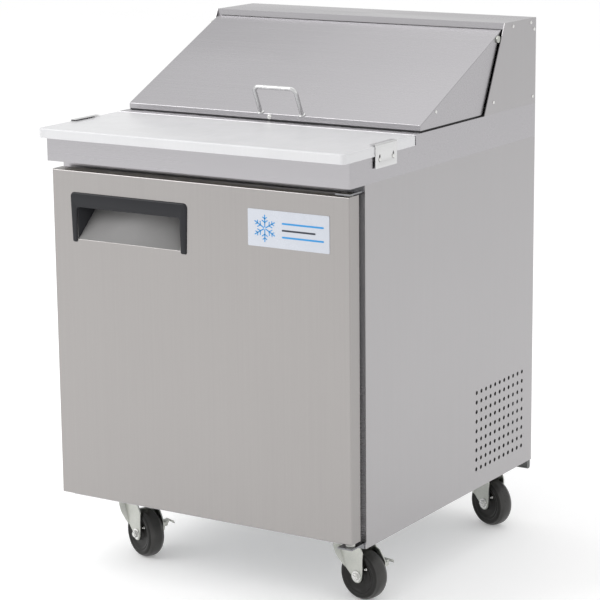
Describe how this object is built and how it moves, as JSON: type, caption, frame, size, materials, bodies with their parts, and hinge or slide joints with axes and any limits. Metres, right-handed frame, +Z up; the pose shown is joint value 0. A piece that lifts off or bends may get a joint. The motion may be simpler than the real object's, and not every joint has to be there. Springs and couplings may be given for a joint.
{
  "type": "sandwich prep table",
  "caption": "Refrigerated sandwich prep table with a hinged door, cutting board, sloped lid over food pans and swivel casters.",
  "frame": {"origin": "on the floor, under the middle of the whole object's footprint", "axes": "+Z up, -Y towards the cook who stands at the door and the cutting board, +X to that cook's right, the hinge side of the door"},
  "size_m": [0.7106, 0.7718, 1.0864],
  "materials": {
    "door_steel": "vertical brushed stainless",
    "side_steel": "vertical brushed stainless",
    "top_steel": "horizontal brushed stainless",
    "bright_steel": "satin stainless",
    "galvanised_steel": "zinc coated sheet",
    "liner_aluminium": "satin",
    "pan_steel": "polished",
    "board_polyethylene": "satin white",
    "foam": "rigid polyurethane foam",
    "liner_plastic": "satin white",
    "gasket_rubber": "soft vinyl",
    "handle_plastic": "fine grain charcoal",
    "badge": null,
    "nylon": "natural nylon",
    "zinc": "bright zinc plate",
    "screw_steel": "bright",
    "wheel_rubber": "satin black rubber",
    "wire_epoxy": "coated wire",
    "fin_aluminium": "finned coil",
    "compressor_paint": "black enamel",
    "copper": "copper tube",
    "motor_paint": "dark enamel",
    "fan_plastic": "moulded",
    "fan_aluminium": "pressed",
    "control_plastic": "moulded"
  },
  "bodies": {
    "cabinet": {"side_panel_left": "side_steel", "side_panel_right": "side_steel", "front_frame": "top_steel", "back_panel": "galvanised_steel", "base_pan": "galvanised_steel", "cabinet_liner": "liner_aluminium", "cabinet_insulation": "foam", "worktop_deck": "top_steel", "cutting_board": "board_polyethylene", "board_clips": "bright_steel", "food_pans": "pan_steel", "pan_dividers": "pan_steel", "hood_cover": "top_steel", "hood_side_left": "side_steel", "hood_side_right": "side_steel", "lid_hinge_pins": "zinc", "door_hinge_brackets": "bright_steel", "wire_shelves": "wire_epoxy", "shelf_clips": "bright_steel", "shelf_pilasters": "bright_steel", "evaporator_cover": "liner_aluminium", "evaporator_coil": "fin_aluminium", "fan_motors": "motor_paint", "condenser_coil": "fin_aluminium", "compressor": "compressor_paint", "refrigerant_lines": "copper", "electrical_box": "control_plastic", "thermostat": "control_plastic", "rear_grille": "galvanised_steel", "condensate_tray": "galvanised_steel", "caster_plates": "zinc", "caster_bolts": "zinc", "cabinet_screws": "screw_steel"},
    "door": {"door_skin": "door_steel", "door_foam": "foam", "door_liner": "liner_plastic", "door_gasket": "gasket_rubber", "door_handle": "handle_plastic", "door_badge": "badge", "door_hinge_bushes": "nylon"},
    "lid": {"lid_skin": "top_steel", "lid_foam": "foam", "lid_liner": "liner_plastic", "lid_gasket": "gasket_rubber", "lid_screws": "screw_steel", "lid_handle": "bright_steel"},
    "evaporator_fan": {"evaporator_fan": "fan_aluminium"},
    "condenser_fan": {"condenser_fan": "fan_plastic"},
    "thermostat_knob": {"thermostat_knob": "control_plastic"},
    "caster_fork_front_left": {"caster_fork_front_left": "zinc"},
    "caster_wheel_front_left": {"caster_wheel_front_left": "wheel_rubber"},
    "brake_pedal_front_left": {"brake_pedal_front_left": "zinc"},
    "caster_fork_front_right": {"caster_fork_front_right": "zinc"},
    "caster_wheel_front_right": {"caster_wheel_front_right": "wheel_rubber"},
    "brake_pedal_front_right": {"brake_pedal_front_right": "zinc"},
    "caster_fork_rear_left": {"caster_fork_rear_left": "zinc"},
    "caster_wheel_rear_left": {"caster_wheel_rear_left": "wheel_rubber"},
    "caster_fork_rear_right": {"caster_fork_rear_right": "zinc"},
    "caster_wheel_rear_right": {"caster_wheel_rear_right": "wheel_rubber"}
  },
  "joints": [
    {"name": "door_hinge", "type": "hinge", "parent": "cabinet", "child": "door", "pos_m": [0.3318, -0.33895, 0.49], "axis": [0, 0, 1], "range_deg": [0, 120]},
    {"name": "lid_hinge", "type": "hinge", "parent": "cabinet", "child": "lid", "pos_m": [0, 0.22205, 1.056], "axis": [-1, 0, 0], "range_deg": [0, 120]},
    {"name": "evaporator_fan_spin", "type": "hinge", "parent": "cabinet", "child": "evaporator_fan", "pos_m": [0.12, 0.25905, 0.675], "axis": [0, 1, 0], "continuous": true},
    {"name": "condenser_fan_spin", "type": "hinge", "parent": "cabinet", "child": "condenser_fan", "pos_m": [0.229, 0.24905, 0.25], "axis": [1, 0, 0], "continuous": true},
    {"name": "thermostat_turn", "type": "hinge", "parent": "cabinet", "child": "thermostat_knob", "pos_m": [-0.18, 0.23105, 0.7], "axis": [0, -1, 0], "range_deg": [0, 300]},
    {"name": "swivel_front_left", "type": "hinge", "parent": "cabinet", "child": "caster_fork_front_left", "pos_m": [-0.26, -0.21095, 0.124], "axis": [0, 0, 1], "continuous": true},
    {"name": "roll_front_left", "type": "hinge", "parent": "caster_fork_front_left", "child": "caster_wheel_front_left", "pos_m": [-0.23295, -0.22271, 0.0508], "axis": [0.3987, 0.9171, 0], "continuous": true},
    {"name": "brake_front_left", "type": "hinge", "parent": "caster_fork_front_left", "child": "brake_pedal_front_left", "pos_m": [-0.19722, -0.20826, 0.072], "axis": [-0.9171, 0.3987, 0], "range_deg": [0, 12]},
    {"name": "swivel_front_right", "type": "hinge", "parent": "cabinet", "child": "caster_fork_front_right", "pos_m": [0.26, -0.21095, 0.124], "axis": [0, 0, 1], "continuous": true},
    {"name": "roll_front_right", "type": "hinge", "parent": "caster_fork_front_right", "child": "caster_wheel_front_right", "pos_m": [0.28896, -0.21658, 0.0508], "axis": [0.1908, 0.9816, 0], "continuous": true},
    {"name": "brake_front_right", "type": "hinge", "parent": "caster_fork_front_right", "child": "brake_pedal_front_right", "pos_m": [0.32071, -0.19474, 0.072], "axis": [-0.9816, 0.1908, 0], "range_deg": [0, 12]},
    {"name": "swivel_rear_left", "type": "hinge", "parent": "cabinet", "child": "caster_fork_rear_left", "pos_m": [-0.26, 0.33305, 0.124], "axis": [0, 0, 1], "continuous": true},
    {"name": "roll_rear_left", "type": "hinge", "parent": "caster_fork_rear_left", "child": "caster_wheel_rear_left", "pos_m": [-0.2315, 0.32542, 0.0508], "axis": [0.2588, 0.9659, 0], "continuous": true},
    {"name": "swivel_rear_right", "type": "hinge", "parent": "cabinet", "child": "caster_fork_rear_right", "pos_m": [0.26, 0.33305, 0.124], "axis": [0, 0, 1], "continuous": true},
    {"name": "roll_rear_right", "type": "hinge", "parent": "caster_fork_rear_right", "child": "caster_wheel_rear_right", "pos_m": [0.28767, 0.32282, 0.0508], "axis": [0.3469, 0.9379, 0], "continuous": true}
  ]
}
